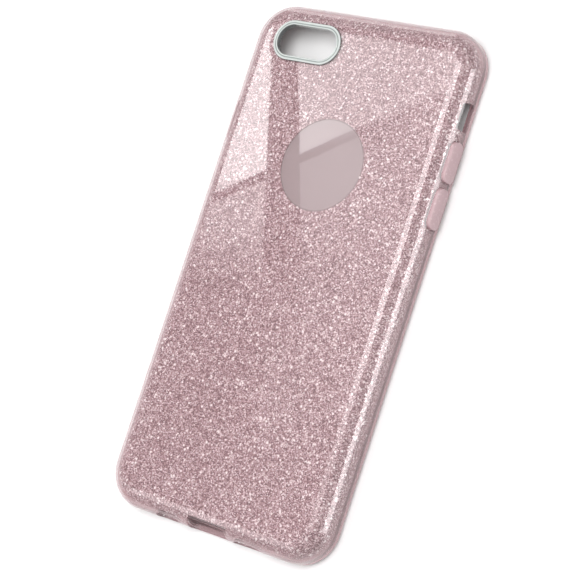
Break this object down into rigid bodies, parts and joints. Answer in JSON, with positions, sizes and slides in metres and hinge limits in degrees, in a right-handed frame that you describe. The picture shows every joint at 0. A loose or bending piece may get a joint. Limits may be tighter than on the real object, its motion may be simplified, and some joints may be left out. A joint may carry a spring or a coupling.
{
  "type": "phone case",
  "caption": "Slip-on phone case: clear tinted soft shell over a glitter film and a hard liner, with a round window, camera collar, press pads and port openings.",
  "frame": {"origin": "middle of the case on the surface that its front lip lies on", "axes": "+X towards the side with the mute slot and the volume pads, +Y towards the camera opening, +Z out of the glitter back"},
  "size_m": [0.0712, 0.1412, 0.0094],
  "materials": {
    "clear_shell": "glossy clear rose-tinted soft plastic",
    "glitter_film": "dusty rose glitter flakes in clear binder, pale matt backing",
    "clear_plate": "clear hard plastic, glossy",
    "collar": "clear grey-green glossy plastic",
    "pad": "translucent rose soft plastic, satin"
  },
  "bodies": {
    "case_body": {"outer_shell": "clear_shell", "glitter_sheet": "glitter_film", "inner_plate": "clear_plate", "camera_ring": "collar", "volume_web": "pad", "power_web": "pad"},
    "volume_up": {"volume_up_button": "pad"},
    "volume_down": {"volume_down_button": "pad"},
    "power": {"power_button": "pad"}
  },
  "joints": [
    {"name": "volume_up_press", "type": "slide", "parent": "case_body", "child": "volume_up", "axis": [-1, 0, 0], "range_m": [0, 0.0004], "stiffness_N_per_m": 4000},
    {"name": "volume_down_press", "type": "slide", "parent": "case_body", "child": "volume_down", "axis": [-1, 0, 0], "range_m": [0, 0.0004], "stiffness_N_per_m": 4000},
    {"name": "power_press", "type": "slide", "parent": "case_body", "child": "power", "axis": [1, 0, 0], "range_m": [0, 0.0004], "stiffness_N_per_m": 4000}
  ]
}
